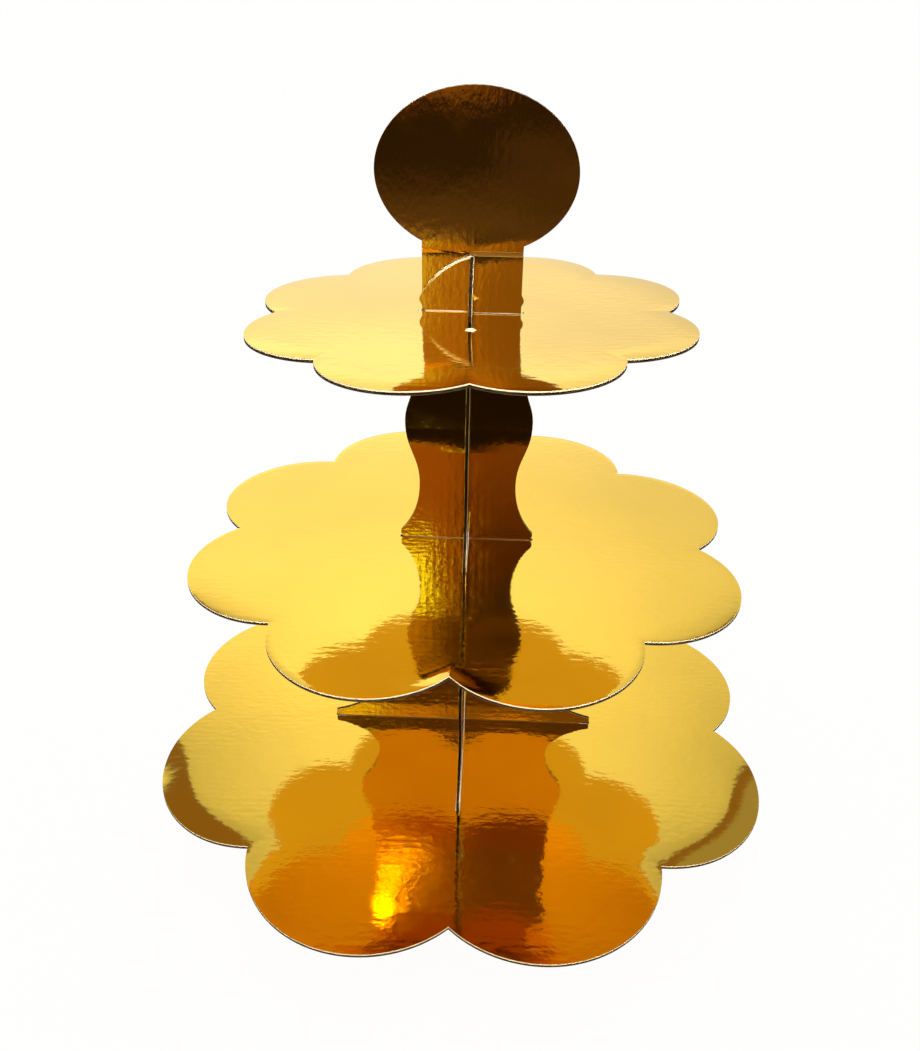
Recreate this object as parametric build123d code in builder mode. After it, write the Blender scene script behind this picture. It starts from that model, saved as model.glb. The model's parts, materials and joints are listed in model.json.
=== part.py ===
"""Three-tier cupcake stand that packs flat, cut from foil-faced corrugated card.

Two vase-shaped panels lap into a cross-shaped column. Three scalloped plates drop over the column,
each onto its own shoulders, and an oval topper straddles the dome at the head of the column.
The origin is on the floor under the column's axis, +Z is up, and the front looks along -Y. Millimetres.
"""

import os
from math import cos, radians, sin

from build123d import *

os.makedirs("parts", exist_ok=True)

# Card and fits
board = 1.7
slot_side_gap = 0.2
slot_end_gap = 0.35
lap_gap = 0.3
leg_gap = 0.25

# Heights
base_height = 40.0
lower_tier_rise = 107.0
upper_tier_rise = 107.0
lap_height = 152.0

# Scalloped plates
lobe_count = 8
bottom_apex_radius = 150.0
bottom_cusp_radius = 127.9
middle_apex_radius = 125.9
middle_cusp_radius = 105.9
top_apex_radius = 93.0
top_cusp_radius = 80.3

# Foot of the column
foot_span = 168.0
foot_edge_height = 5.0
base_waist_span = 142.0
base_waist_height = 26.0
base_shoulder_span = 148.0
arch_span = 116.0
arch_height = 21.0

# Notches that hold the plates, and the tips over them; tip heights are above the plate's face
bottom_notch_span = 119.5
bottom_tip_span = 129.0
bottom_tip_low = 0.6
bottom_tip_high = 3.4
middle_notch_span = 58.2
middle_tip_span = 60.3
middle_tip_low = 2.0
middle_tip_high = 3.4
top_notch_span = 37.9
dome_span = 42.6
dome_tip_low = 4.4
dome_tip_high = 5.4
dome_height = 23.0
dome_side_radius = 32.0

# Lower column, heights above the bottom plate's face
lower_flare_height = 9.0
lower_waist_span = 86.4
lower_waist_height = 22.0
lower_bulge_span = 107.0
lower_bulge_height = 51.0
lower_neck_span = 97.2
lower_neck_height = 72.0

# Upper column, heights above the middle plate's face
upper_flare_height = 13.0
upper_waist_span = 43.0
upper_waist_height = 28.0
upper_bulge_span = 55.6
upper_bulge_height = 57.5
upper_neck_span = 48.6
upper_neck_height = 76.0

# Oval topper, heights above the top plate's face
oval_width = 78.9
oval_height = 62.8
oval_centre_height = 54.7
neck_width = 40.6
slit_end_gap = 0.25
slit_crush = 0.1
leg_crease_gap = 0.4
leg_jog_height = 1.2

# Levels that follow from the sizes above
slot_width = board + 2 * slot_side_gap
bottom_seat = base_height
middle_seat = bottom_seat + lower_tier_rise
top_seat = middle_seat + upper_tier_rise
bottom_face = bottom_seat + board
middle_face = middle_seat + board
top_face = top_seat + board
dome_top = top_face + dome_height

# Share of an S-curve's height that stays upright at each of its ends
curve_ease = 0.45


def s_curve(start_x, start_z, end_x, end_z):
    """A smooth step between two upright edges of a panel."""
    ease = curve_ease * (end_z - start_z)
    return Bezier((start_x, start_z), (start_x, start_z + ease), (end_x, end_z - ease), (end_x, end_z))


def notch(seat, notch_span, tip_span, tip_low, tip_high):
    """The upright side of a plate's notch, its undercut and the blunt end of the tip over it."""
    face = seat + board
    corners = [
        (notch_span / 2, seat),
        (notch_span / 2, face),
        (tip_span / 2, face + tip_low),
        (tip_span / 2, face + tip_high),
    ]
    return Polyline(*corners)


def column(face, tip_span, tip_high, flare, waist_span, waist, bulge_span, bulge, neck_span, neck, seat):
    """One side of a tier's column: from its foot tip through waist, bulge and neck to its shoulder."""
    tip_corner = (tip_span / 2, face + tip_high)
    Bezier(tip_corner, (waist_span / 2, face + flare), (waist_span / 2, face + waist))
    s_curve(waist_span / 2, face + waist, bulge_span / 2, face + bulge)
    s_curve(bulge_span / 2, face + bulge, neck_span / 2, face + neck)
    Line((neck_span / 2, face + neck), (neck_span / 2, seat))


def panel_side():
    """The right-hand half of a column panel's outline, closed along the axis."""
    TangentArc((0, arch_height), (arch_span / 2, 0), tangent=(1, 0))
    Polyline((arch_span / 2, 0), (foot_span / 2, 0), (foot_span / 2, foot_edge_height))
    foot_sweep = (base_waist_span / 2, foot_edge_height)
    Bezier((foot_span / 2, foot_edge_height), foot_sweep, (base_waist_span / 2, base_waist_height))
    s_curve(base_waist_span / 2, base_waist_height, base_shoulder_span / 2, bottom_seat)
    Line((base_shoulder_span / 2, bottom_seat), (bottom_notch_span / 2, bottom_seat))
    notch(bottom_seat, bottom_notch_span, bottom_tip_span, bottom_tip_low, bottom_tip_high)
    column(
        bottom_face, bottom_tip_span, bottom_tip_high, lower_flare_height,
        lower_waist_span, lower_waist_height, lower_bulge_span, lower_bulge_height,
        lower_neck_span, lower_neck_height, middle_seat,
    )
    Line((lower_neck_span / 2, middle_seat), (middle_notch_span / 2, middle_seat))
    notch(middle_seat, middle_notch_span, middle_tip_span, middle_tip_low, middle_tip_high)
    column(
        middle_face, middle_tip_span, middle_tip_high, upper_flare_height,
        upper_waist_span, upper_waist_height, upper_bulge_span, upper_bulge_height,
        upper_neck_span, upper_neck_height, top_seat,
    )
    Line((upper_neck_span / 2, top_seat), (top_notch_span / 2, top_seat))
    notch(top_seat, top_notch_span, dome_span, dome_tip_low, dome_tip_high)
    RadiusArc((dome_span / 2, top_face + dome_tip_high), (0, dome_top), -dome_side_radius)
    Line((0, dome_top), (0, arch_height))


# Front panel: faces the viewer, and its slit is open at the foot
with BuildPart() as front_panel:
    with BuildSketch(Plane.XZ):
        with BuildLine():
            panel_side()
        make_face()
        mirror(about=Plane.YZ)
    extrude(amount=board / 2, both=True)
    with BuildSketch(Plane.XZ):
        Rectangle(slot_width, lap_height + lap_gap, align=(Align.CENTER, Align.MIN))
    extrude(amount=board, both=True, mode=Mode.SUBTRACT)

# Side panel: the same outline turned a quarter, and its slit is open at the dome
with BuildPart() as side_panel:
    with BuildSketch(Plane.YZ):
        with BuildLine():
            panel_side()
        make_face()
        mirror(about=Plane.YZ)
    extrude(amount=board / 2, both=True)
    with BuildSketch(Plane.YZ):
        with Locations((0, lap_height)):
            Rectangle(slot_width, dome_top - lap_height, align=(Align.CENTER, Align.MIN))
    extrude(amount=board, both=True, mode=Mode.SUBTRACT)


def rim_point(radius, lobe):
    """A point of a plate's rim, with lobes counted round from the cusp at the front."""
    angle = radians(360 * lobe / lobe_count - 90)
    return (radius * cos(angle), radius * sin(angle))


def scalloped_plate(seat, apex_radius, cusp_radius, passed_span):
    """A plate of equal round lobes, with a cross slot that passes every tip above its seat."""
    slot_length = passed_span + 2 * slot_end_gap
    with BuildPart() as plate:
        with BuildSketch(Plane.XY.offset(seat)):
            with BuildLine():
                for lobe in range(lobe_count):
                    first_cusp = rim_point(cusp_radius, lobe)
                    apex = rim_point(apex_radius, lobe + 0.5)
                    ThreePointArc(first_cusp, apex, rim_point(cusp_radius, lobe + 1))
            make_face()
            Rectangle(slot_length, slot_width, mode=Mode.SUBTRACT)
            Rectangle(slot_width, slot_length, mode=Mode.SUBTRACT)
        extrude(amount=board)
    return plate


bottom_plate = scalloped_plate(bottom_seat, bottom_apex_radius, bottom_cusp_radius, bottom_tip_span)
middle_plate = scalloped_plate(middle_seat, middle_apex_radius, middle_cusp_radius, middle_tip_span)
top_plate = scalloped_plate(top_seat, top_apex_radius, top_cusp_radius, dome_span)

# Topper: an oval on a neck whose two legs are split, one behind the front panel and one before it
slit_end = dome_top + slit_end_gap
crease_level = dome_top + leg_crease_gap
jog_level = crease_level + leg_jog_height
leg_offset = board + leg_gap
leg_width = (neck_width - slot_width) / 2
oval_level = top_face + oval_centre_height

with BuildPart() as topper:
    with BuildSketch(Plane.XZ):
        with Locations((0, oval_level)):
            Ellipse(oval_width / 2, oval_height / 2)
        with Locations((0, jog_level)):
            Rectangle(neck_width, oval_height, align=(Align.CENTER, Align.MAX), mode=Mode.SUBTRACT)
            Rectangle(neck_width, oval_level - jog_level, align=(Align.CENTER, Align.MIN))
    extrude(amount=board / 2, both=True)
    with BuildSketch(Plane.XZ):
        with Locations((0, slit_end)):
            Rectangle(slot_width, oval_level - slit_end, align=(Align.CENTER, Align.MIN))
    extrude(amount=board / 2 - slit_crush, both=True)
    for side in (-1, 1):
        leg_plane = Plane.YZ.offset(side * slot_width / 2)
        shift = -side * leg_offset
        with BuildSketch(leg_plane):
            with BuildLine():
                Polyline(
                    (shift - board / 2, top_face),
                    (shift - board / 2, crease_level),
                    (-board / 2, jog_level),
                    (board / 2, jog_level),
                    (shift + board / 2, crease_level),
                    (shift + board / 2, top_face),
                    close=True,
                )
            make_face()
        extrude(amount=side * leg_width)

pieces = {
    "front_panel": front_panel,
    "side_panel": side_panel,
    "bottom_plate": bottom_plate,
    "middle_plate": middle_plate,
    "top_plate": top_plate,
    "topper": topper,
}
for piece_name, piece in pieces.items():
    piece.part.label = piece_name
    export_step(piece.part, f"parts/{piece_name}.step")
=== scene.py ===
"""Visual model of a three-tier cupcake stand cut from gold foil card.

Every sheet is built as corrugated board: an outer and an inner liner with a foil face, and a wavy paper
between them that shows at the cut edges.
"""

import json
import math
from contextlib import contextmanager

import bmesh
import bpy
from mathutils import Matrix, Vector

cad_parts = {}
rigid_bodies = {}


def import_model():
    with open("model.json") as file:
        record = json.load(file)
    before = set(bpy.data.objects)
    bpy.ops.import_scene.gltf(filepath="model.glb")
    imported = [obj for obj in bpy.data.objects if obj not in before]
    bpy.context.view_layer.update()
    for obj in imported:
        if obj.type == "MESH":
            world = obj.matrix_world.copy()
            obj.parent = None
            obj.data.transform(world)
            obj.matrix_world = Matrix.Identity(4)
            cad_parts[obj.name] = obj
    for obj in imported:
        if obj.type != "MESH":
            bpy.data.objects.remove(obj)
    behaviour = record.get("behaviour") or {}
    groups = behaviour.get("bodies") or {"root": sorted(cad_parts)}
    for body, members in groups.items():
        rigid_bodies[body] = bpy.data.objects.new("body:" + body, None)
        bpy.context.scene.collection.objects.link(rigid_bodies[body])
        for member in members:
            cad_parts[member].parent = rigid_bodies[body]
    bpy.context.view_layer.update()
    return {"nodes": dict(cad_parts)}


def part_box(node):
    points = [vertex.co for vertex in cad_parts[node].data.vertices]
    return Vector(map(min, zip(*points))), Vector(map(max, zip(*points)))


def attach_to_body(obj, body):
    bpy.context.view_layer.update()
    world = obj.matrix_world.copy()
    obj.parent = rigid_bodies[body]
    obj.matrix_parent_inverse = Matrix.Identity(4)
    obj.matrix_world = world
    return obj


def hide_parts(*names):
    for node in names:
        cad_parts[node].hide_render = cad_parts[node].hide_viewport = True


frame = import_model()

bl_info = {
    "name": "Foil card cupcake stand",
    "version": (1, 0, 0),
    "blender": (4, 5, 0),
    "location": "View3D > Sidebar > Cupcake Stand",
    "description": "Builds the sheets of a knock-down cupcake stand from foil-faced corrugated card",
    "category": "Add Mesh",
}

PLATE_NODES = ("bottom_plate", "middle_plate", "top_plate")
MERGE_GAP = 1e-6
CUT_ANGLE = math.radians(40)
SMOOTH_ANGLE = math.radians(12)

# Share of its normal that a face has to turn outward to belong to a liner, and to carry foil
LINER_FACING = 0.3
FOIL_FACING = 0.15

# Thickness of the card, as the CAD plates have it
plate_low, plate_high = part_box("middle_plate")
BOARD = plate_high.z - plate_low.z


# Settings that a user would change


class CardSettings(bpy.types.PropertyGroup):
    """How the corrugated card is made up."""

    liner: bpy.props.FloatProperty(
        name="Liner", description="Thickness of each outer paper with its foil",
        default=0.00032, min=0.0001, unit="LENGTH", precision=5,
    )
    top_liner: bpy.props.FloatProperty(
        name="Drawn edge",
        description="Thickness that a plate's upper paper shows at its rim, where the die draws it down",
        default=0.0006, min=0.0001, unit="LENGTH", precision=5,
    )
    medium: bpy.props.FloatProperty(
        name="Fluted paper", description="Thickness of the wavy paper inside the board",
        default=0.0002, min=0.0001, unit="LENGTH", precision=5,
    )
    flute_pitch: bpy.props.FloatProperty(
        name="Flute pitch", description="Distance from one flute to the next",
        default=0.0033, min=0.001, unit="LENGTH", precision=5,
    )
    flute_steps: bpy.props.IntProperty(
        name="Flute steps", description="Facets that draw each flute", default=6, min=4,
    )
    cut_round: bpy.props.FloatProperty(
        name="Cut rounding", description="Rounding that the die leaves where the foil folds over a cut edge",
        default=0.00012, min=0.00001, unit="LENGTH", precision=5,
    )


class PlateSettings(bpy.types.PropertyGroup):
    """How the plates have settled in use, listed from the bottom plate to the top one."""

    droop: bpy.props.FloatVectorProperty(
        name="Rim droop", description="How far each rim hangs below the slot at its middle",
        default=(0.0018, 0.0003, -0.0004), size=3, unit="LENGTH", precision=5,
    )
    roll: bpy.props.FloatVectorProperty(
        name="Rim roll", description="How far the die has turned down each rim",
        default=(0.0015, 0.0004, 0.0004), size=3, unit="LENGTH", precision=5,
    )
    roll_width: bpy.props.FloatVectorProperty(
        name="Roll width", description="Width of the turned-down band along each rim",
        default=(0.017, 0.014, 0.014), size=3, unit="LENGTH", precision=5,
    )
    crush: bpy.props.FloatVectorProperty(
        name="Crushed edge", description="How far the cut itself has pressed down the very edge of each plate",
        default=(0.0, 0.00012, 0.0), size=3, unit="LENGTH", precision=5,
    )
    crush_width: bpy.props.FloatProperty(
        name="Crush width", description="Width of that pressed edge",
        default=0.0028, min=0.0001, unit="LENGTH", precision=5,
    )
    front_roll: bpy.props.FloatVectorProperty(
        name="Front roll", description="Share of the roll that each rim keeps at the front",
        default=(0.0, 0.0, 1.0), size=3, min=0, max=1,
    )
    lean: bpy.props.FloatVectorProperty(
        name="Lean", description="How far each plate's right side sits above its left",
        default=(0.0, 0.0, math.radians(1.2)), size=3, subtype="EULER", unit="ROTATION",
    )
    cusp_lift: bpy.props.FloatVectorProperty(
        name="Cusp lift", description="How far the cusp at the front of each plate has curled up",
        default=(0.0, 0.0018, -0.0002), size=3, unit="LENGTH", precision=5,
    )
    cusp_reach: bpy.props.FloatVectorProperty(
        name="Cusp reach", description="How far from that cusp the curl starts",
        default=(0.040, 0.040, 0.025), size=3, unit="LENGTH", precision=5,
    )
    curl_width: bpy.props.FloatProperty(
        name="Curl width", description="Width of the curled band along the middle plate's rim",
        default=0.0125, min=0.0001, unit="LENGTH", precision=5,
    )
    cusp_spread: bpy.props.FloatProperty(
        name="Cusp spread", description="How much wider than deep that curl is", default=1.25, min=0.1,
    )
    twist: bpy.props.FloatVectorProperty(
        name="Twist", description="How far each plate's lobes sit turned about the column",
        default=(math.radians(-0.62), math.radians(-1.72), math.radians(1.1)),
        size=3, subtype="EULER", unit="ROTATION",
    )
    lobe_steps: bpy.props.IntProperty(
        name="Lobe steps", description="Points along the rim of each lobe", default=40, min=8,
    )


class TopperSettings(bpy.types.PropertyGroup):
    """How the topper sits on the dome."""

    crease_gap: bpy.props.FloatProperty(
        name="Crease gap", description="How far the creases of the legs are above the dome",
        default=0.0004, min=0, unit="LENGTH", precision=5,
    )
    jog: bpy.props.FloatProperty(
        name="Jog", description="Height over which the legs step out from the neck",
        default=0.0012, min=0.0001, unit="LENGTH", precision=5,
    )
    nod: bpy.props.FloatProperty(
        name="Nod", description="How far the oval leans towards the front", default=math.radians(2.6), subtype="ANGLE",
    )
    tilt: bpy.props.FloatProperty(
        name="Tilt", description="How far the oval leans to the right", default=math.radians(1.9), subtype="ANGLE",
    )
    foot_gap: bpy.props.FloatProperty(
        name="Foot gap", description="How far the legs stop above the top plate",
        default=0.0002, min=0, unit="LENGTH", precision=5,
    )


class FoilSettings(bpy.types.PropertyGroup):
    """Finish of the foil and the papers."""

    gold: bpy.props.FloatVectorProperty(
        name="Gold", description="Colour of the metallised foil", subtype="COLOR",
        default=(0.95, 0.62, 0.075), size=3, min=0, max=1,
    )
    gloss_roughness: bpy.props.FloatProperty(
        name="Foil roughness", description="How far the foil scatters a reflection", default=0.06, min=0, max=1,
        subtype="FACTOR",
    )
    paper: bpy.props.FloatVectorProperty(
        name="Liner paper", description="Colour of the liners where they are cut", subtype="COLOR",
        default=(0.76, 0.56, 0.36), size=3, min=0, max=1,
    )
    rim_paper: bpy.props.FloatVectorProperty(
        name="Rim paper", description="Colour of the drawn edge round each plate", subtype="COLOR",
        default=(0.74, 0.60, 0.38), size=3, min=0, max=1,
    )
    # Painted shade: the lower liners and the side panel's back liner take this near-black copy of the liner paper,
    # standing in for the shade on their cut edges
    shaded_paper: bpy.props.FloatVectorProperty(
        name="Paper in painted shade", description="Colour of the lower liners, darkened as painted shade",
        subtype="COLOR", default=(0.035, 0.022, 0.012), size=3, min=0, max=1,
    )
    # Painted shade: the fluted paper is near-black, far darker than kraft, standing in for the shade inside the board
    # at the cut edges
    medium: bpy.props.FloatVectorProperty(
        name="Fluted paper", description="Colour of the wavy paper inside the board", subtype="COLOR",
        default=(0.05, 0.03, 0.014), size=3, min=0, max=1,
    )


class StageSettings(bpy.types.PropertyGroup):
    """Floor, light and camera."""

    floor: bpy.props.FloatVectorProperty(
        name="Floor", description="Colour of the floor", subtype="COLOR",
        default=(0.92, 0.92, 0.92), size=3, min=0, max=1,
    )
    camera_place: bpy.props.FloatVectorProperty(
        name="Camera", description="Where the camera stands", subtype="TRANSLATION",
        default=(0.0083, -0.4032, 0.3798), size=3, unit="LENGTH", precision=5,
    )
    camera_yaw: bpy.props.FloatProperty(
        name="Yaw", description="How far the camera looks to the right of straight back",
        default=math.radians(-1.617), subtype="ANGLE",
    )
    camera_pitch: bpy.props.FloatProperty(
        name="Pitch", description="How far the camera looks down", default=math.radians(29.141), subtype="ANGLE",
    )
    camera_roll: bpy.props.FloatProperty(
        name="Roll", description="How far the camera leans over", default=math.radians(1.005), subtype="ANGLE",
    )
    camera_lens: bpy.props.FloatProperty(
        name="Lens", description="Focal length in millimetres on a 36 mm sensor", default=34.43, min=1,
    )


class StandSettings(bpy.types.PropertyGroup):
    """All settings of the stand."""

    card: bpy.props.PointerProperty(type=CardSettings, name="Card", description="How the card is made up")
    plates: bpy.props.PointerProperty(type=PlateSettings, name="Plates", description="How the plates have settled")
    topper: bpy.props.PointerProperty(type=TopperSettings, name="Topper", description="How the topper sits")
    foil: bpy.props.PointerProperty(type=FoilSettings, name="Foil", description="Finish of the foil and papers")
    stage: bpy.props.PointerProperty(type=StageSettings, name="Stage", description="Floor, light and camera")


# Modelling helpers


def choose(piece):
    """Select one object alone and make it active."""
    bpy.ops.object.select_all(action="DESELECT")
    piece.select_set(True)
    bpy.context.view_layer.objects.active = piece


def added(name):
    """Name the object that the last operator has added."""
    piece = bpy.context.object
    piece.name = name
    return piece


def delete(piece):
    """Remove an object with its mesh."""
    mesh = piece.data
    bpy.data.objects.remove(piece)
    bpy.data.meshes.remove(mesh)


def apply_modifier(piece, kind, **values):
    """Add one modifier to a piece and apply it."""
    choose(piece)
    modifier = piece.modifiers.new(kind.title(), kind)
    for name, value in values.items():
        setattr(modifier, name, value)
    bpy.ops.object.modifier_apply(modifier=modifier.name)


def cut(piece, tool, operation):
    """Cut a piece with a solid, or keep only what lies inside it; the solid is used up."""
    apply_modifier(piece, "BOOLEAN", object=tool, operation=operation, solver="MANIFOLD")
    delete(tool)


@contextmanager
def editing(piece):
    """Edit mode, with all of a piece selected."""
    choose(piece)
    bpy.ops.object.mode_set(mode="EDIT")
    bpy.ops.mesh.select_all(action="SELECT")
    yield
    bpy.ops.object.mode_set(mode="OBJECT")


def merged_copy(node, name):
    """A copy of a CAD node with its triangles joined up."""
    piece = bpy.data.objects.new(name, frame["nodes"][node].data.copy())
    bpy.context.scene.collection.objects.link(piece)
    piece.data.materials.clear()
    with editing(piece):
        bpy.ops.mesh.remove_doubles(threshold=MERGE_GAP)
    return piece


def keep_faces(piece, wanted):
    """Delete every face that the test does not want."""
    with editing(piece):
        bpy.ops.mesh.select_mode(type="FACE")
        bpy.ops.mesh.select_all(action="DESELECT")
        shape = bmesh.from_edit_mesh(piece.data)
        for face in shape.faces:
            face.select_set(not wanted(face))
        bmesh.update_edit_mesh(piece.data)
        bpy.ops.mesh.delete(type="FACE")


def outward_normals(piece):
    """Turn every face of a closed piece outward."""
    with editing(piece):
        bpy.ops.mesh.normals_make_consistent(inside=False)


def finish_liner(piece, outward, foil, settings, paper):
    """Round the cut edges of a liner, and face its outer side with foil."""
    apply_modifier(
        piece, "BEVEL", width=settings.card.cut_round, segments=2, limit_method="ANGLE", angle_limit=CUT_ANGLE
    )
    piece.data.materials.clear()
    piece.data.materials.append(foil)
    piece.data.materials.append(paper_material(settings.foil, paper))
    for face in piece.data.polygons:
        face.material_index = 0 if face.normal.dot(outward) > FOIL_FACING else 1


def attach(piece, node):
    """Hang a piece on the body of its CAD node, which it stands for."""
    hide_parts(node)
    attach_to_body(piece, node)


# Flat sheets: the panels of the column and the topper


def flat_liner(name, node, outward, card):
    """One liner of a flat or creased sheet, from the CAD faces on that side."""
    liner = merged_copy(node, name)
    keep_faces(liner, lambda face: face.normal.dot(outward) > LINER_FACING)
    apply_modifier(liner, "SOLIDIFY", thickness=card.liner, offset=-1, use_even_offset=True)
    return liner


def wavy_sheet(name, node, columns, rows, place, card):
    """The wavy paper inside a sheet: a grid put in place point by point, then trimmed to the CAD outline."""
    bpy.ops.mesh.primitive_grid_add(x_subdivisions=columns, y_subdivisions=rows, size=1)
    sheet = added(name)
    for vertex in sheet.data.vertices:
        vertex.co = place(vertex.co.x + 0.5, vertex.co.y + 0.5)
    apply_modifier(sheet, "SOLIDIFY", thickness=card.medium, offset=0)
    outward_normals(sheet)
    cut(sheet, merged_copy(node, name + "_trim"), "INTERSECT")
    return sheet


def wave(across, card, room):
    """Height of the wavy paper over the middle of the room between the liners."""
    reach = (room - card.medium) / 2
    return reach * math.sin(2 * math.pi * across / card.flute_pitch)


def finish_medium(sheet, settings):
    """Give the wavy paper its material and smooth its flutes."""
    sheet.data.materials.clear()
    sheet.data.materials.append(paper_material(settings.foil, "medium"))
    choose(sheet)
    bpy.ops.object.shade_smooth_by_angle(angle=SMOOTH_ANGLE)


def build_sheet(node, outward, levels, place, span, foil, settings, back_paper, bend=None):
    """A whole upright sheet: front liner, back liner and the wavy paper between them."""
    card = settings.card
    columns = round(span / card.flute_pitch * card.flute_steps)
    for side, direction, paper in (("front", outward, "paper"), ("back", -outward, back_paper)):
        liner = flat_liner(f"{node}_{side}_liner", node, direction, card)
        if bend:
            bend(liner)
        finish_liner(liner, direction, foil, settings, paper)
        attach(liner, node)

    def put(u, v):
        across = (u - 0.5) * span
        level = levels[round(v * (len(levels) - 1))]
        return place(across, level, wave(across, card, BOARD - 2 * card.liner))

    sheet = wavy_sheet(f"{node}_flutes", node, columns, len(levels) - 1, put, card)
    if bend:
        bend(sheet)
    finish_medium(sheet, settings)
    attach(sheet, node)


# Scalloped plates

# How near to the axis a point of a cusp lies, and the share of the cusp radius that only the slots lie inside
AXIS_GAP = 1e-4
INNER_SHARE = 0.97


class PlateOutline:
    """Measures of one CAD plate, and the rim of its lobes."""

    lobes = 8

    def __init__(self, node):
        points = [vertex.co for vertex in frame["nodes"][node].data.vertices]
        low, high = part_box(node)
        self.seat, self.face = low.z, high.z
        self.apex = max(math.hypot(p.x, p.y) for p in points)
        self.cusp = max(-p.y for p in points if abs(p.x) < AXIS_GAP)
        inner = [p for p in points if math.hypot(p.x, p.y) < INNER_SHARE * self.cusp]
        self.slot_reach = max(abs(p.x) for p in inner)
        self.slot_half = min(abs(p.x) for p in inner)
        half_lobe = math.pi / self.lobes
        self.centre = (self.apex**2 - self.cusp**2) / (2 * (self.apex - self.cusp * math.cos(half_lobe)))

    def rim(self, angle):
        """Rim radius at an angle counted from the cusp at the front."""
        lobe = 2 * math.pi / self.lobes
        off_apex = angle % lobe - lobe / 2
        lobe_radius = self.apex - self.centre
        along = self.centre * math.cos(off_apex)
        return along + math.sqrt(lobe_radius**2 - (self.centre * math.sin(off_apex)) ** 2)


def ease(low, high, value):
    """Smooth step from 0 at low to 1 at high."""
    t = min(max((value - low) / (high - low), 0.0), 1.0)
    return t * t * (3 - 2 * t)


# Flanks where a rim rolls down, across as a share of the radius and forward, and the power of that roll
FLANK_ACROSS = (0.55, 0.82)
FLANK_FORWARD = (0.005, 0.05)
ROLL_POWER = 2.2
# Plate whose front curls up along the rim, and how much that curl widens away from the cusp
CURLED_TIER = 1
CURL_GROWTH = 0.15


def settle(piece, outline, plates, tier):
    """Let a plate's rim hang and roll, lean the plate on its seat, and turn its lobes about the column."""
    lean = math.tan(plates.lean[tier])
    front_roll = plates.front_roll[tier]
    for vertex in piece.data.vertices:
        point = vertex.co
        radius = math.hypot(point.x, point.y)
        out = max(radius - outline.slot_reach, 0.0) / (outline.apex - outline.slot_reach)
        inside = outline.rim(math.atan2(point.x, -point.y)) - radius
        flank = ease(*FLANK_ACROSS, abs(point.x) / max(radius, MERGE_GAP)) * ease(*FLANK_FORWARD, -point.y)
        edge = max(1 - inside / plates.roll_width[tier], 0.0) * (front_roll + (1 - front_roll) * flank)
        free = ease(outline.slot_reach, outline.cusp, radius)
        sink = plates.droop[tier] * out**2 + plates.roll[tier] * edge**ROLL_POWER
        sink += plates.crush[tier] * max(1 - inside / plates.crush_width, 0.0) ** 2
        off_cusp = math.hypot(point.x / plates.cusp_spread, point.y + outline.cusp)
        lift = plates.cusp_lift[tier] * max(1 - off_cusp / plates.cusp_reach[tier], 0.0) ** 2
        if tier == CURLED_TIER:
            curl_width = plates.curl_width + CURL_GROWTH * abs(point.x)
            lift *= max(1 - inside / curl_width, 0.0) ** 2
        turn = Matrix.Rotation(plates.twist[tier] * free, 3, "Z")
        vertex.co = turn @ point + Vector((0, 0, free * point.x * lean + lift - sink))
    piece.data.update()


# Shares of the rim radius at which the rings of a plate's liner lie, and the steps along each of its flutes
RING_SHARES = (
    0.996, 0.985, 0.974, 0.963, 0.952, 0.941, 0.93, 0.919, 0.908, 0.895, 0.88,
    0.85, 0.82, 0.78, 0.72, 0.65, 0.57, 0.48, 0.38, 0.28, 0.18, 0.09,
)
FLUTE_LENGTHS = 16


def lobed_liner(name, outline, lobe_steps, card):
    """The upper liner of a plate, drawn in from its rim in rings so that it can bend smoothly."""
    count = outline.lobes * lobe_steps
    bpy.ops.mesh.primitive_circle_add(vertices=count, radius=outline.apex, fill_type="NOTHING")
    liner = added(name)
    for step, vertex in enumerate(liner.data.vertices):
        angle = 2 * math.pi * step / count
        radius = outline.rim(angle)
        vertex.co = (radius * math.sin(angle), -radius * math.cos(angle), outline.face)
    bpy.ops.object.mode_set(mode="EDIT")
    bpy.ops.mesh.select_mode(type="EDGE")
    bpy.ops.mesh.select_all(action="SELECT")
    last = 1.0
    for share in RING_SHARES:
        bpy.ops.mesh.extrude_edges_move()
        bpy.ops.transform.resize(value=(share / last, share / last, 1), center_override=(0, 0, outline.face))
        last = share
    bpy.ops.mesh.extrude_edges_move()
    bpy.ops.mesh.merge(type="CENTER")
    bpy.ops.mesh.select_all(action="SELECT")
    bpy.ops.mesh.normals_make_consistent(inside=False)
    bpy.ops.object.mode_set(mode="OBJECT")
    if liner.data.polygons[0].normal.z < 0:
        liner.data.flip_normals()
    apply_modifier(liner, "SOLIDIFY", thickness=card.top_liner, offset=-1)
    for half_x, half_y in ((outline.slot_reach, outline.slot_half), (outline.slot_half, outline.slot_reach)):
        bpy.ops.mesh.primitive_cube_add(size=2, location=(0, 0, outline.face))
        tool = bpy.context.object
        tool.scale = (half_x, half_y, 4 * card.top_liner)
        bpy.ops.object.transform_apply(location=True, rotation=True, scale=True)
        cut(liner, tool, "DIFFERENCE")
    return liner


def lower_liner(upper, name, outline, card):
    """A plate's lower liner: the upper one copied to the underside and thinned."""
    choose(upper)
    bpy.ops.object.duplicate()
    lower = added(name)
    for vertex in lower.data.vertices:
        depth = (outline.face - vertex.co.z) / card.top_liner
        vertex.co.z = outline.seat + card.liner * (1 - depth)
    return lower


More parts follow.
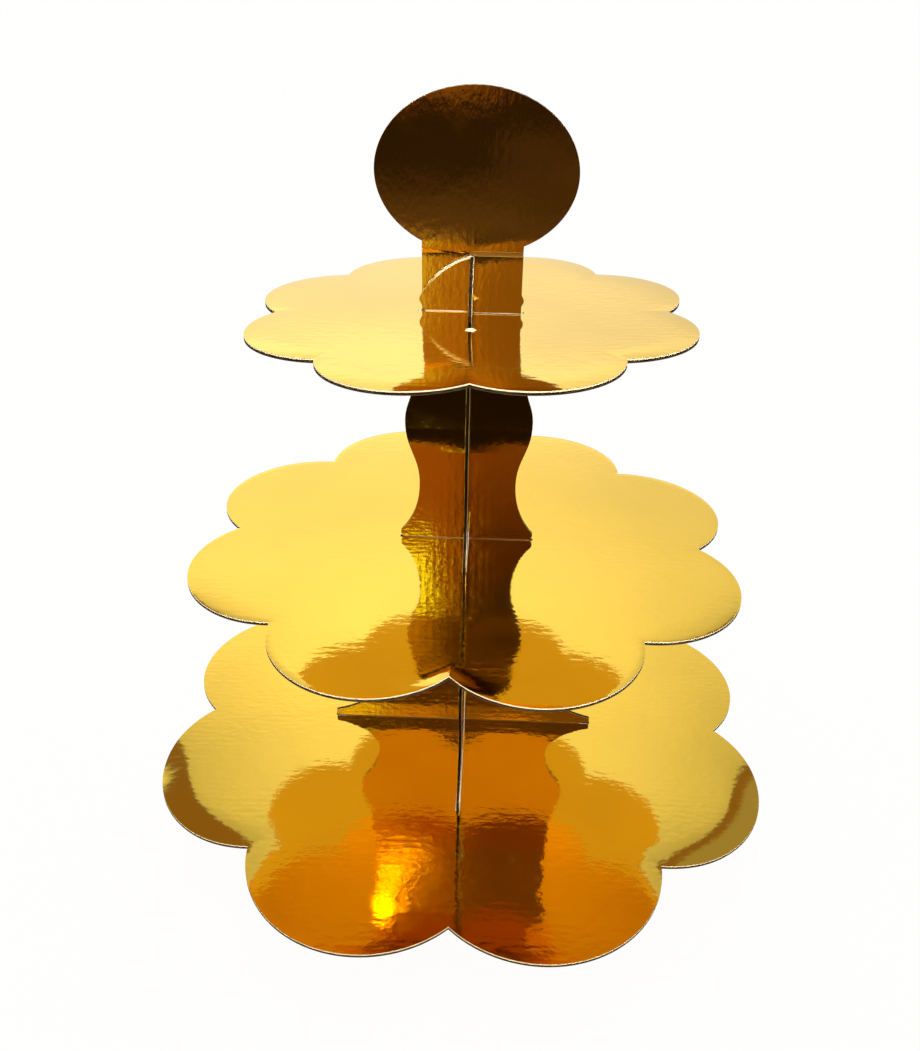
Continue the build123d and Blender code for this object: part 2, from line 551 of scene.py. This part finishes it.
def build_plate(node, tier, foil, settings):
    """A whole plate: upper liner, lower liner and the wavy paper between them."""
    card = settings.card
    outline = PlateOutline(node)
    upper = lobed_liner(f"{node}_upper_liner", outline, settings.plates.lobe_steps, card)
    lower = lower_liner(upper, f"{node}_lower_liner", outline, card)
    span = 2 * outline.apex + card.flute_pitch
    flutes = round(span / card.flute_pitch * card.flute_steps)
    room = BOARD - card.liner - card.top_liner
    middle = outline.seat + card.liner + room / 2

    def put(u, v):
        across = (v - 0.5) * span
        return Vector(((u - 0.5) * span, across, middle + wave(across, card, room)))

    sheet = wavy_sheet(f"{node}_flutes", node, FLUTE_LENGTHS, flutes, put, card)
    for piece in (upper, lower, sheet):
        settle(piece, outline, settings.plates, tier)
    finish_liner(upper, Vector((0, 0, 1)), foil, settings, "rim_paper")
    finish_liner(lower, Vector((0, 0, -1)), foil, settings, "shaded_paper")
    finish_medium(sheet, settings)
    for piece in (upper, lower):
        choose(piece)
        bpy.ops.object.shade_smooth_by_angle(angle=SMOOTH_ANGLE)
    for piece in (upper, lower, sheet):
        attach(piece, node)


# Materials


def add_node(tree, kind, links=(), **values):
    """Add a node, set its values, and link or fill its inputs from (input, source) pairs."""
    node = tree.nodes.new(kind)
    for name, value in values.items():
        setattr(node, name, value)
    for key, source in dict(links).items():
        socket = node.inputs[key]
        if isinstance(source, bpy.types.NodeSocket):
            tree.links.new(source, socket)
        else:
            socket.default_value = source
    return node


def math_node(tree, operation, first, second=0.0):
    return add_node(tree, "ShaderNodeMath", {0: first, 1: second}, operation=operation).outputs[0]


def vector_node(tree, operation, links):
    return add_node(tree, "ShaderNodeVectorMath", links, operation=operation).outputs[0]


def mixed(tree, share, first, second, kind="RGBA"):
    """Blend from the first value to the second by a share."""
    links = {"Factor": share, "A": first, "B": second}
    return add_node(tree, "ShaderNodeMix", links, data_type=kind).outputs["Result"]


def smooth_range(tree, value, low, high, to_low=0.0, to_high=1.0):
    """Smooth step of a value between two limits."""
    links = {"Value": value, "From Min": low, "From Max": high, "To Min": to_low, "To Max": to_high}
    return add_node(tree, "ShaderNodeMapRange", links, interpolation_type="SMOOTHSTEP").outputs["Result"]


def product(tree, first, *others):
    for other in others:
        first = math_node(tree, "MULTIPLY", first, other)
    return first


def noise(tree, place, scale, detail=2.0, roughness=0.5):
    links = {"Vector": place, "Scale": scale, "Detail": detail, "Roughness": roughness}
    return add_node(tree, "ShaderNodeTexNoise", links).outputs["Fac"]


def new_material(name):
    """A new material, and its node tree with nothing in it."""
    material = bpy.data.materials.new(name)
    material.use_nodes = True
    material.node_tree.nodes.clear()
    return material, material.node_tree


def vector_value(tree, operation, first, second):
    return add_node(tree, "ShaderNodeVectorMath", {0: first, 1: second}, operation=operation).outputs["Value"]


def split(tree, place):
    """The X, Y and Z of a vector."""
    parts = add_node(tree, "ShaderNodeSeparateXYZ", {0: place}).outputs
    return parts["X"], parts["Y"], parts["Z"]


# Shares of its width from its middle at which a band is gone and full, the share of its width at which an arc is full,
# and the lengths over which each ends at the axis
BAND_FADE = (0.7, 0.4)
ARC_FADE = 0.7
SIDE_FADE = 0.001
AXIS_FADE = 0.0005
# Ragged edge of a spot: scale of its noise, and as shares of the radius its reach and where the spot is gone and full
RAGGED_SCALE = 700
RAGGED_REACH = 2.0
RAGGED_FADE = (1.9, 1.6)


def level_mark(level, width, right_only=False):
    """Mask of a level band that starts at a height, across the whole sheet or on its right side only."""

    def mask(tree, place):
        x, _, z = split(tree, place)
        off = math_node(tree, "ABSOLUTE", math_node(tree, "SUBTRACT", z, level + width / 2))
        band = smooth_range(tree, off, *(share * width for share in BAND_FADE))
        return product(tree, band, smooth_range(tree, x, 0.0, SIDE_FADE)) if right_only else band

    return mask


def arc_mark(centre, radius, width, start, full):
    """Mask of a band inside the upper side of a round edge, faded in across the sheet and ended at the axis."""

    def mask(tree, place):
        x, _, z = split(tree, place)
        off = vector_value(tree, "DISTANCE", place, centre)
        rim = smooth_range(tree, off, radius - width, radius - ARC_FADE * width)
        upper = math_node(tree, "GREATER_THAN", z, centre[2] + radius / 3)
        return product(tree, rim, upper, smooth_range(tree, x, start, full), smooth_range(tree, x, AXIS_FADE, 0.0))

    return mask


def spot_mark(centre, radius):
    """Mask of a ragged spot."""

    def mask(tree, place):
        ragged = product(tree, noise(tree, place, RAGGED_SCALE, 3.0), RAGGED_REACH * radius)
        off = math_node(tree, "ADD", vector_value(tree, "DISTANCE", place, centre), ragged)
        return smooth_range(tree, off, *(share * radius for share in RAGGED_FADE))

    return mask


# Noise scales of the foil's slow waves, handling marks and shades, with the ranges that the last two are drawn from
WAVE_SCALE = 38
HANDLING_SCALE, HANDLING_RANGE = 55, (0.5, 0.78, 0.0, 0.05)
SHADE_SCALE, SHADE_RANGE = 16, (0.3, 0.7, 0.95, 1.0)


def foil_surface_group():
    """Surface of foil laminated on corrugated board: flutes, peel, slow waves and handling marks."""
    group = bpy.data.node_groups.get("Foil surface")
    if group:
        return group
    group = bpy.data.node_groups.new("Foil surface", "ShaderNodeTree")
    taken = {
        "Flute Direction": "Vector", "Flute Pitch": "Float", "Grain Scale": "Vector", "Flute Depth": "Float",
        "Peel Depth": "Float", "Wave Depth": "Float", "Gold": "Color", "Roughness": "Float",
    }
    given = {"Height": "Float", "Roughness": "Float", "Colour": "Color"}
    for in_out, sockets in (("INPUT", taken), ("OUTPUT", given)):
        for name, kind in sockets.items():
            group.interface.new_socket(name, in_out=in_out, socket_type="NodeSocket" + kind)
    inputs = add_node(group, "NodeGroupInput").outputs
    place = add_node(group, "ShaderNodeTexCoord").outputs["Object"]
    across = vector_value(group, "DOT_PRODUCT", place, inputs["Flute Direction"])
    phase = math_node(group, "DIVIDE", product(group, across, 2 * math.pi), inputs["Flute Pitch"])
    flutes = product(group, math_node(group, "SINE", phase), inputs["Flute Depth"])
    grain = vector_node(group, "MULTIPLY", {0: place, 1: inputs["Grain Scale"]})
    peel = product(group, noise(group, grain, 1.0), inputs["Peel Depth"])
    slow = product(group, noise(group, place, WAVE_SCALE, 3.0), inputs["Wave Depth"])
    height = math_node(group, "ADD", math_node(group, "ADD", flutes, peel), slow)
    handling = smooth_range(group, noise(group, place, HANDLING_SCALE, 4.0, 0.6), *HANDLING_RANGE)
    rough = math_node(group, "ADD", inputs["Roughness"], handling)
    shade = smooth_range(group, noise(group, place, SHADE_SCALE, 3.0), *SHADE_RANGE)
    colour = vector_node(group, "SCALE", {0: inputs["Gold"], "Scale": shade})
    add_node(group, "NodeGroupOutput", {"Height": height, "Roughness": rough, "Colour": colour})
    return group


# Foil of each kind of sheet: the way across its flutes, the scale of its grain, and the depths of its flutes, peel
# and slow waves
FOILS = {
    "column foil, front": ((1, 0, 0), (650, 650, 400), 1.5e-6, 2.2e-5, 8e-5),
    "column foil, side": ((0, 1, 0), (650, 650, 400), 1.5e-6, 2.2e-5, 8e-5),
    "plate foil": ((0, 1, 0), (200, 350, 350), 1.8e-6, 4.6e-5, 8e-5),
    "topper foil": ((1, 0, 0), (650, 650, 320), 2e-6, 2.6e-5, 8e-5),
}
# Roughness of paper, bare, and of the matte marks on the foil: foil rubbed off, and painted light and shade
PAPER_ROUGHNESS = 0.85


def foil_material(name, settings, marks=(), leans=()):
    """Gold foil, with the flutes of the board behind it showing through.

    Marks are masks with the matte colour that takes the foil's place there. A lean is a foot level, a height and the
    offset gained over it.
    """
    material, tree = new_material(name)
    direction, grain, flute_depth, peel_depth, wave_depth = FOILS[name]
    links = {
        "Flute Direction": direction, "Flute Pitch": settings.card.flute_pitch, "Grain Scale": grain,
        "Flute Depth": flute_depth, "Peel Depth": peel_depth, "Wave Depth": wave_depth,
        "Gold": (*settings.foil.gold, 1), "Roughness": settings.foil.gloss_roughness,
    }
    surface = add_node(tree, "ShaderNodeGroup", node_tree=foil_surface_group())
    for key, value in links.items():
        surface.inputs[key].default_value = value
    colour, rough, height = (surface.outputs[key] for key in ("Colour", "Roughness", "Height"))
    place = add_node(tree, "ShaderNodeTexCoord").outputs["Object"]
    matte_share, metallic = 0.0, 1.0
    for mask, matte in marks:
        share = mask(tree, place)
        matte_share = math_node(tree, "MAXIMUM", matte_share, share)
        colour = mixed(tree, share, colour, (*matte, 1))
    if marks:
        rough = math_node(tree, "MAXIMUM", rough, product(tree, matte_share, PAPER_ROUGHNESS))
        metallic = math_node(tree, "SUBTRACT", 1.0, matte_share)
    for foot, rise, offset in leans:
        up = split(tree, place)[2]
        links = {"Value": up, "From Min": foot, "From Max": foot + rise, "To Min": 0.0, "To Max": offset}
        ramp = add_node(tree, "ShaderNodeMapRange", links).outputs["Result"]
        height = math_node(tree, "ADD", height, ramp)
    bump = add_node(tree, "ShaderNodeBump", {"Strength": 1.0, "Distance": 1.0, "Height": height})
    shader = add_node(tree, "ShaderNodeBsdfPrincipled", {
        "Base Color": colour, "Metallic": metallic, "Roughness": rough, "Normal": bump.outputs["Normal"],
    })
    add_node(tree, "ShaderNodeOutputMaterial", {"Surface": shader.outputs[0]})
    return material


# Papers, by the setting with their colour: name, share of that colour in the dark fibres, and scale of the fibres
PAPERS = {
    "paper": ("liner paper", 0.72, 2400),
    "rim_paper": ("rim paper", 0.85, 2400),
    # Paper in painted shade, for the lower liners and the side panel's back liner
    "shaded_paper": ("crushed paper", 0.6, 2400),
    "medium": ("fluted paper", 0.6, 1500),
}


def paper_material(foil, kind):
    """Cut or inner paper, mottled by its fibres."""
    name, share, scale = PAPERS[kind]
    material = bpy.data.materials.get(name)
    if material:
        return material
    material, tree = new_material(name)
    colour = getattr(foil, kind)
    dark = [share * part for part in colour]
    place = add_node(tree, "ShaderNodeTexCoord").outputs["Object"]
    fibres = noise(tree, place, scale, 5.0, 0.65)
    mottled = mixed(tree, fibres, (*dark, 1), (*colour, 1))
    bump = add_node(tree, "ShaderNodeBump", {"Strength": 0.6, "Distance": 0.00006, "Height": fibres})
    shader = add_node(tree, "ShaderNodeBsdfPrincipled", {
        "Base Color": mottled, "Roughness": PAPER_ROUGHNESS, "Normal": bump.outputs["Normal"],
    })
    add_node(tree, "ShaderNodeOutputMaterial", {"Surface": shader.outputs[0]})
    return material


# Operators

# Width of the pale paper bands: foil that the plates rub off the column, and painted light at the topper's foot
RUB_AND_EDGE_LIGHT_WIDTH = 0.0004
# Left side of the dome: its radius, its centre across and along the depth, and its rise over that centre
DOME_RADIUS = 0.032
DOME_CENTRE = (0.00773, -BOARD / 2)
DOME_RISE = 0.03105
# Painted highlight in pale paper along the upper edge of that side: its width, and where across the sheet it starts
# and is full
DOME_HIGHLIGHT_WIDTH = 0.0011
DOME_HIGHLIGHT_SPAN = (-0.019, -0.012)
# Leans of the front panel: tier, height over that tier's face, rise and offset gained
COLUMN_LEANS = ((0, 0.0, 0.0085, 0.00015), (1, 0.0435, 0.011, -0.00023))


class STAND_OT_column_panels(bpy.types.Operator):
    """Build the two vase-shaped panels that cross to make the column."""

    bl_idname = "stand.column_panels"
    bl_label = "Column Panels"

    def execute(self, context):
        settings = context.scene.cupcake_stand
        pitch = settings.card.flute_pitch
        low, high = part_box("front_panel")
        levels = (low.z - pitch, high.z + pitch)
        span = high.x - low.x + 2 * pitch
        faces = [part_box(node)[1].z for node in PLATE_NODES]
        marks = [(level_mark(face, RUB_AND_EDGE_LIGHT_WIDTH), settings.foil.paper) for face in faces]
        dome_centre = (*DOME_CENTRE, high.z - DOME_RISE)
        # Painted highlight: a pale band along the dome's upper left edge, in place of the foil
        marks.append((arc_mark(dome_centre, DOME_RADIUS, DOME_HIGHLIGHT_WIDTH, *DOME_HIGHLIGHT_SPAN), settings.foil.rim_paper))
        leans = [(faces[tier] + over, rise, offset) for tier, over, rise, offset in COLUMN_LEANS]
        front = foil_material("column foil, front", settings, marks, leans)
        side = foil_material("column foil, side", settings)
        build_sheet(
            "front_panel", Vector((0, -1, 0)), levels, lambda across, level, off: Vector((across, off, level)),
            span, front, settings, "paper",
        )
        build_sheet(
            "side_panel", Vector((1, 0, 0)), levels, lambda across, level, off: Vector((off, across, level)),
            span, side, settings, "shaded_paper",
        )
        return {"FINISHED"}


# Painted light: a pale spot on the top plate before the dome, standing in for the lit open end of the slot
SLOT_LIGHT_PLACE = (0.0003, -0.0243)
SLOT_LIGHT_RADIUS = 0.0027


class STAND_OT_plates(bpy.types.Operator):
    """Build the three scalloped plates."""

    bl_idname = "stand.plates"
    bl_label = "Scalloped Plates"

    def execute(self, context):
        settings = context.scene.cupcake_stand
        # Pale spot painted where the lit open end of the slot shows
        slot_light = spot_mark((*SLOT_LIGHT_PLACE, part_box("top_plate")[1].z), SLOT_LIGHT_RADIUS)
        foil = foil_material("plate foil", settings, [(slot_light, settings.foil.rim_paper)])
        for tier, node in enumerate(PLATE_NODES):
            build_plate(node, tier, foil, settings)
        return {"FINISHED"}


# Painted shade: a dark matte colour laid over the foil on the jog where the right leg steps forward, to darken the
# bright line that the jog catches
CREASE_SHADE_COLOUR = (0.12, 0.045, 0.004)


class STAND_OT_topper(bpy.types.Operator):
    """Build the oval topper with its split, creased neck."""

    bl_idname = "stand.topper"
    bl_label = "Topper"

    def execute(self, context):
        settings = context.scene.cupcake_stand
        topper = settings.topper
        pitch = settings.card.flute_pitch
        low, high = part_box("topper")
        offset = high.y - BOARD / 2
        dome_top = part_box("front_panel")[1].z
        crease = dome_top + topper.crease_gap
        jog = crease + topper.jog
        levels = (low.z - pitch, crease, jog, high.z + pitch)

        def place(across, level, off):
            shift = offset if level <= crease else 0.0
            return Vector((across, off - math.copysign(shift, across), level))

        def bend(piece):
            """Lean the neck and the oval above the jog, and lift the legs off the plate."""
            pivot = Vector((0, 0, jog))
            turn = Matrix.Rotation(topper.tilt, 3, "Y") @ Matrix.Rotation(topper.nod, 3, "X")
            for vertex in piece.data.vertices:
                point = vertex.co
                in_neck = point.z > (crease + jog) / 2
                in_slit_end = point.z > dome_top and abs(point.x) < BOARD and abs(point.y) < 0.6 * BOARD
                if in_neck or in_slit_end:
                    vertex.co = pivot + turn @ (point - pivot)
                elif point.z < low.z + BOARD:
                    point.z += topper.foot_gap

        marks = [
            # Painted light: a pale paper band at the legs' foot, standing in for the lit cut edge that the top plate
            # mirrors there, over the shade of the gap
            (level_mark(low.z, RUB_AND_EDGE_LIGHT_WIDTH), settings.foil.paper),
            # Painted shade on the right leg's jog, in place of the foil
            (level_mark(crease, topper.jog, right_only=True), CREASE_SHADE_COLOUR),
        ]
        foil = foil_material("topper foil", settings, marks)
        build_sheet(
            "topper", Vector((0, -1, 0)), levels, place, high.x - low.x + 2 * pitch, foil, settings,
            "paper", bend,
        )
        return {"FINISHED"}


class STAND_OT_stage(bpy.types.Operator):
    """Set up the floor, the studio light and the camera."""

    bl_idname = "stand.stage"
    bl_label = "Stage"

    def execute(self, context):
        stage = context.scene.cupcake_stand.stage
        build_floor(stage)
        build_front_flag()
        build_world(context.scene)
        for lamp in LAMPS:
            build_lamp(*lamp)
        card = bpy.data.collections.new("card")
        for piece in bpy.data.objects:
            if piece.name.endswith(("_liner", "_flutes")):
                card.objects.link(piece)
        bpy.data.objects["edge_lamp"].light_linking.receiver_collection = card
        build_camera(context.scene, stage)
        context.scene.view_settings.view_transform = "Standard"
        return {"FINISHED"}


# Floor: its width, its drop under the part, its own light, and the share of that light in the picture and in mirrors
FLOOR_SIZE = 120
FLOOR_DROP = 0.0002
FLOOR_GLOW = 1.04
FLOOR_SEEN = 0.92
FLOOR_MIRRORED = 0.38


def build_floor(stage):
    """A plain pale floor that stays white in the picture and keeps a faint shadow."""
    bpy.ops.mesh.primitive_plane_add(size=FLOOR_SIZE, location=(0, 0, -FLOOR_DROP))
    floor = added("floor")
    material, tree = new_material("pale floor")
    rays = add_node(tree, "ShaderNodeLightPath").outputs
    matte = add_node(tree, "ShaderNodeBsdfDiffuse", {"Color": (*stage.floor, 1)})
    glow = add_node(tree, "ShaderNodeEmission", {"Color": (1, 1, 1, 1), "Strength": FLOOR_GLOW})
    seen = product(tree, rays["Is Camera Ray"], FLOOR_SEEN)
    mirrored = product(tree, rays["Is Glossy Ray"], FLOOR_MIRRORED)
    share = math_node(tree, "MAXIMUM", seen, mirrored)
    mix = add_node(tree, "ShaderNodeMixShader", {0: share, 1: matte.outputs[0], 2: glow.outputs[0]})
    add_node(tree, "ShaderNodeOutputMaterial", {"Surface": mix.outputs[0]})
    floor.data.materials.append(material)


# Dark cloth in front: where it starts, its size, and its height over the floor
FLAG_START = -0.345
FLAG_SIZE = 6.0
FLAG_LIFT = 0.0002
# Its colours and folds. Ranges go along Y, or across along X, from none to full; some give the level at each end.
CLOTH_DARK = (0.012, 0.006, 0.005, 1)
CLOTH_LIT = (0.125, 0.066, 0.05, 1)
LIT_ALONG = (-1.2, -0.88, 0.12, 0.78)
RIGHT_ACROSS = (-0.02, 0.04, 0.0, 0.3)
RIGHT_ALONG = ((-1.6, -1.3), (-0.95, -1.15))
FOLD_SCALE, FOLD_RANGE = 5.0, (0.3, 0.7, 0.7, 1.3)
FOLD_END = (-0.8, -0.9)
# Lit patches at the far edge and near on the left: colour, range across and ranges along
CLOTH_PATCHES = (
    ((0.2, 0.08, 0.03, 1), (0.06, -0.06), ((-1.62, -1.78),)),
    ((0.3, 0.17, 0.1, 1), (0.0, -0.06), ((-0.9, -0.85), (-0.76, -0.82))),
)
# Pale hem at the start: its colours on the right and left, and where it brightens, ends and meets the cloth
HEM_COLOURS = ((0.08, 0.075, 0.06, 1), (0.48, 0.52, 0.42, 1))
HEM_ACROSS = (-0.014, -0.052)
HEM_GAIN = (-0.41, -0.384, 1.0, 1.5)
HEM_END = (-0.366, -0.38, 0.1, 1.0)
HEM_SEAM = (-0.452, -0.437)


def build_front_flag():
    """A dark cloth on the floor in front, seen only in reflections."""
    bpy.ops.mesh.primitive_plane_add(size=1, location=(0, FLAG_START - FLAG_SIZE / 2, FLAG_LIFT))
    flag = added("front_flag")
    flag.scale = (FLAG_SIZE, FLAG_SIZE, 1.0)
    bpy.ops.object.transform_apply(location=True, rotation=True, scale=True)
    material, tree = new_material("dark cloth")
    place = add_node(tree, "ShaderNodeTexCoord").outputs["Object"]
    across, along, _ = split(tree, place)

    def faded(*ranges):
        return [smooth_range(tree, along, *limits) for limits in ranges]

    to_right = product(tree, smooth_range(tree, across, *RIGHT_ACROSS), *faded(*RIGHT_ALONG))
    folds = math_node(tree, "ADD", *faded(LIT_ALONG), to_right)
    creased = smooth_range(tree, noise(tree, place, FOLD_SCALE, 3.0), *FOLD_RANGE)
    cloth = mixed(tree, product(tree, folds, creased, *faded(FOLD_END)), CLOTH_DARK, CLOTH_LIT)
    for colour, limits, ranges in CLOTH_PATCHES:
        cloth = mixed(tree, product(tree, smooth_range(tree, across, *limits), *faded(*ranges)), cloth, colour)
    hem = mixed(tree, smooth_range(tree, across, *HEM_ACROSS), *HEM_COLOURS)
    hem = vector_node(tree, "SCALE", {0: hem, "Scale": product(tree, *faded(HEM_GAIN, HEM_END))})
    colour = mixed(tree, *faded(HEM_SEAM), cloth, hem)
    glow = add_node(tree, "ShaderNodeEmission", {"Color": colour, "Strength": 1.0})
    add_node(tree, "ShaderNodeOutputMaterial", {"Surface": glow.outputs[0]})
    flag.data.materials.append(material)
    flag.visible_camera = flag.visible_diffuse = flag.visible_shadow = False
    flag.visible_transmission = flag.visible_volume_scatter = False


# Light of the sweep behind by height, and the level that the curve below counts as one
SWEEP_PEAK = 1.5
SWEEP_LEVELS = (
    (0.0, 1.0), (0.25, 1.0), (0.30, 1.06), (0.36, 1.28), (0.42, 1.08), (0.47, 1.08), (0.52, 1.18), (0.56, 1.22),
    (0.59, 1.22), (0.62, 1.2), (0.68, 1.18), (0.74, 0.93), (1.0, 0.88),
)
# Sides, top and lowest part of the bright sweep, each faded from none to full
SWEEP_SIDES = ((-0.5, -0.46), (0.46, 0.42))
SWEEP_TOP = (0.87, 0.81)
SWEEP_FOOT = (0.64, 0.55)
# Its gain on the left by height, from left to right, and towards both sides above a height
LEFT_GAIN = (0.6, 0.65, 1.1, 0.92)
SWEEP_ACROSS, RIGHT_GAIN = (-0.12, 0.3), 0.8
SIDE_GAIN = (0.12, 0.36, 1.0, 0.62)
SIDE_HEIGHT = (0.48, 0.6)
# Dim wings beside the sweep, on the left and right
WING_SPLIT = (0.5, 0.57)
WING_COLOURS = ((0.26, 0.15, 0.06), (0.36, 0.33, 0.3))
# Where the room in front takes over, where its right turns into its left, its blue as a share of green, and the soft
# light at the top
FRONT_TURN = (-0.2, -0.5)
ROOM_SPLIT = (0.0, -0.045)
BLUE_SHARE = 0.5
TOP_LIGHT = (0.9, 0.96, 0.0, 0.8)
# Light of the room in front by height: where each band fades in and is full, its level on the right and left, and
# its green share
ROOM_BANDS = (
    (0.0, 0.0, 0.27, 0.46, 0.6),
    (0.34, 0.39, 0.18, 0.34, 0.44),
    (0.43, 0.505, 0.075, 0.34, 0.46),
    (0.525, 0.545, 0.045, 0.36, 0.68),
    (0.575, 0.605, 0.09, 0.06, 0.6),
    (0.638, 0.652, 0.2, 0.5, 0.66),
    (0.69, 0.72, 0.16, 0.51, 1.19),
    (0.80, 0.88, 0.32, 0.32, 1.19),
)
# Light that spills in from the left: where it starts, is full and ends, its lowest and highest level, its strength
# and its colour
SPILL_FADE = 0.012
SPILLS = (
    (-0.054, -0.08, -1.0, 0.0, 0.31, 0.35, (0.8, 1.3, 0.6)),
    (-0.053, -0.061, -0.083, 0.512, 0.562, 1.25, (0.9, 1.7, 1.0)),
    (-0.085, -0.105, -1.0, 0.65, 0.69, 0.5, (0.8, 1.3, 0.6)),
)


def build_world(scene):
    """A bright sweep behind the stand, a dimmer room in front, and a soft top light."""
    world = bpy.data.worlds.new("studio")
    scene.world = world
    world.use_nodes = True
    tree = world.node_tree
    tree.nodes.clear()
    direction = add_node(tree, "ShaderNodeTexCoord").outputs["Generated"]
    x, y, z = split(tree, direction)
    flat = math_node(tree, "SQRT", math_node(tree, "SUBTRACT", 1.0, product(tree, z, z)))
    sideways = math_node(tree, "DIVIDE", x, math_node(tree, "MAXIMUM", flat, 0.001))
    sides = [smooth_range(tree, sideways, *limits) for limits in SWEEP_SIDES]
    window = product(tree, *sides, smooth_range(tree, z, *SWEEP_TOP))
    sweep = math_node(tree, "MAXIMUM", window, smooth_range(tree, z, *SWEEP_FOOT))
    level = add_node(tree, "ShaderNodeFloatCurve", {"Value": z})
    points = level.mapping.curves[0].points
    for place, value in SWEEP_LEVELS[1:-1]:
        points.new(place, value / SWEEP_PEAK)
    for point, (place, value) in zip(points, SWEEP_LEVELS):
        point.location = (place, value / SWEEP_PEAK)
    level.mapping.update()
    left_gain = smooth_range(tree, z, *LEFT_GAIN)
    across = smooth_range(tree, x, *SWEEP_ACROSS, left_gain, RIGHT_GAIN)
    to_side = smooth_range(tree, math_node(tree, "ABSOLUTE", x), *SIDE_GAIN)
    to_side = smooth_range(tree, z, *SIDE_HEIGHT, 1.0, to_side)
    sweep = product(tree, sweep, level.outputs["Value"], across, SWEEP_PEAK, to_side)
    back = vector_node(tree, "SCALE", {0: (1, 1, 1), "Scale": sweep})
    wings = mixed(tree, smooth_range(tree, sideways, *WING_SPLIT), *WING_COLOURS, "VECTOR")
    back = vector_node(tree, "MAXIMUM", {0: back, 1: wings})
    room, green = 0.0, 0.0
    for low, high, right, left, share in ROOM_BANDS:
        here = smooth_range(tree, z, low, high) if high else 1.0
        room = mixed(tree, here, room, smooth_range(tree, x, *ROOM_SPLIT, right, left), "FLOAT")
        green = mixed(tree, here, green, share, "FLOAT")
    blue = product(tree, green, BLUE_SHARE)
    tint = add_node(tree, "ShaderNodeCombineXYZ", {"X": 1.0, "Y": green, "Z": blue}).outputs[0]
    front = vector_node(tree, "SCALE", {0: tint, "Scale": room})
    for start, full, end, low, high, strength, colour in SPILLS:
        spill = product(
            tree, smooth_range(tree, x, start, full, 0.0, strength), smooth_range(tree, x, end - SPILL_FADE, end),
            smooth_range(tree, z, low - SPILL_FADE, low), smooth_range(tree, z, high + SPILL_FADE, high),
        )
        spill = vector_node(tree, "SCALE", {0: colour, "Scale": spill})
        front = vector_node(tree, "ADD", {0: front, 1: spill})
    around = mixed(tree, smooth_range(tree, y, *FRONT_TURN), back, front, "VECTOR")
    light = vector_node(tree, "ADD", {0: around, 1: smooth_range(tree, z, *TOP_LIGHT)})
    rays = add_node(tree, "ShaderNodeLightPath").outputs
    seen = mixed(tree, rays["Is Camera Ray"], light, (1, 1, 1), "VECTOR")
    background = add_node(tree, "ShaderNodeBackground", {"Color": seen, "Strength": 1.0})
    add_node(tree, "ShaderNodeOutputWorld", {"Surface": background.outputs[0]})


# Name, azimuth and elevation in degrees, distance, width and height, power and colour, then the spread in degrees and
# whether the foil mirrors it
LAMPS = (
    ("front_lamp", -167.9, 52.3, 1.5, (0.036, 0.075), 0.24, (0.55, 1.0, 0.5)),
    ("upper_lamp", -169.8, 47.8, 1.5, (0.03, 0.036), 0.08, (0.55, 1.0, 0.5)),
    ("bar_lamp", -170.1, 45.7, 1.5, (0.13, 0.016), 0.08, (0.55, 1.0, 0.5)),
    ("edge_lamp", 172, 58, 1.6, (0.25, 0.25), 1.2, (1.0, 1.0, 1.0), 24, False),
)


def build_lamp(name, azimuth, elevation, distance, size, power, colour, spread=180, mirrored=True):
    """An oval lamp that looks at the stand."""
    light = bpy.data.lights.new(name, "AREA")
    light.shape = "ELLIPSE"
    light.size, light.size_y = size
    light.energy = power
    light.color = colour
    light.spread = math.radians(spread)
    lamp = bpy.data.objects.new(name, light)
    bpy.context.scene.collection.objects.link(lamp)
    round_about, up = math.radians(azimuth), math.radians(elevation)
    towards = Vector((math.cos(up) * math.sin(round_about), math.cos(up) * math.cos(round_about), math.sin(up)))
    lamp.location = distance * towards
    lamp.rotation_euler = towards.to_track_quat("Z", "Y").to_euler()
    lamp.visible_camera = False
    lamp.visible_glossy = mirrored


def build_camera(scene, stage):
    """The camera, turned to look right, then down, then leant over."""
    yaw, pitch, roll = stage.camera_yaw, stage.camera_pitch, stage.camera_roll
    forward = Vector((
        math.sin(yaw) * math.cos(pitch), math.cos(yaw) * math.cos(pitch), -math.sin(pitch)
    ))
    level = Vector((math.cos(yaw), -math.sin(yaw), 0))
    upright = level.cross(forward)
    right = level * math.cos(roll) + upright * math.sin(roll)
    up = upright * math.cos(roll) - level * math.sin(roll)
    data = bpy.data.cameras.new("camera")
    data.lens = stage.camera_lens
    data.clip_start = 0.01
    camera = bpy.data.objects.new("camera", data)
    scene.collection.objects.link(camera)
    camera.rotation_euler = Matrix((right, up, -forward)).transposed().to_euler()
    camera.location = stage.camera_place
    scene.camera = camera


class STAND_PT_sidebar(bpy.types.Panel):
    """Sidebar panel that lists the steps and their settings."""

    bl_idname = "STAND_PT_sidebar"
    bl_label = "Cupcake Stand"
    bl_space_type = "VIEW_3D"
    bl_region_type = "UI"
    bl_category = "Cupcake Stand"

    def draw(self, context):
        settings = context.scene.cupcake_stand
        for operator in build_order:
            self.layout.operator(operator.bl_idname)
        for group in (settings.card, settings.plates, settings.topper, settings.foil, settings.stage):
            box = self.layout.box()
            for name in group.__annotations__:
                box.prop(group, name)


build_order = (STAND_OT_column_panels, STAND_OT_plates, STAND_OT_topper, STAND_OT_stage)
setting_groups = (CardSettings, PlateSettings, TopperSettings, FoilSettings, StageSettings, StandSettings)
classes = setting_groups + build_order + (STAND_PT_sidebar,)


def register():
    for item in classes:
        bpy.utils.register_class(item)
    bpy.types.Scene.cupcake_stand = bpy.props.PointerProperty(
        type=StandSettings, name="Cupcake stand", description="Settings of the cupcake stand"
    )


def unregister():
    del bpy.types.Scene.cupcake_stand
    for item in reversed(classes):
        bpy.utils.unregister_class(item)


def main():
    register()
    bpy.ops.stand.column_panels()
    bpy.ops.stand.plates()
    bpy.ops.stand.topper()
    bpy.ops.stand.stage()


if __name__ == "__main__":
    main()
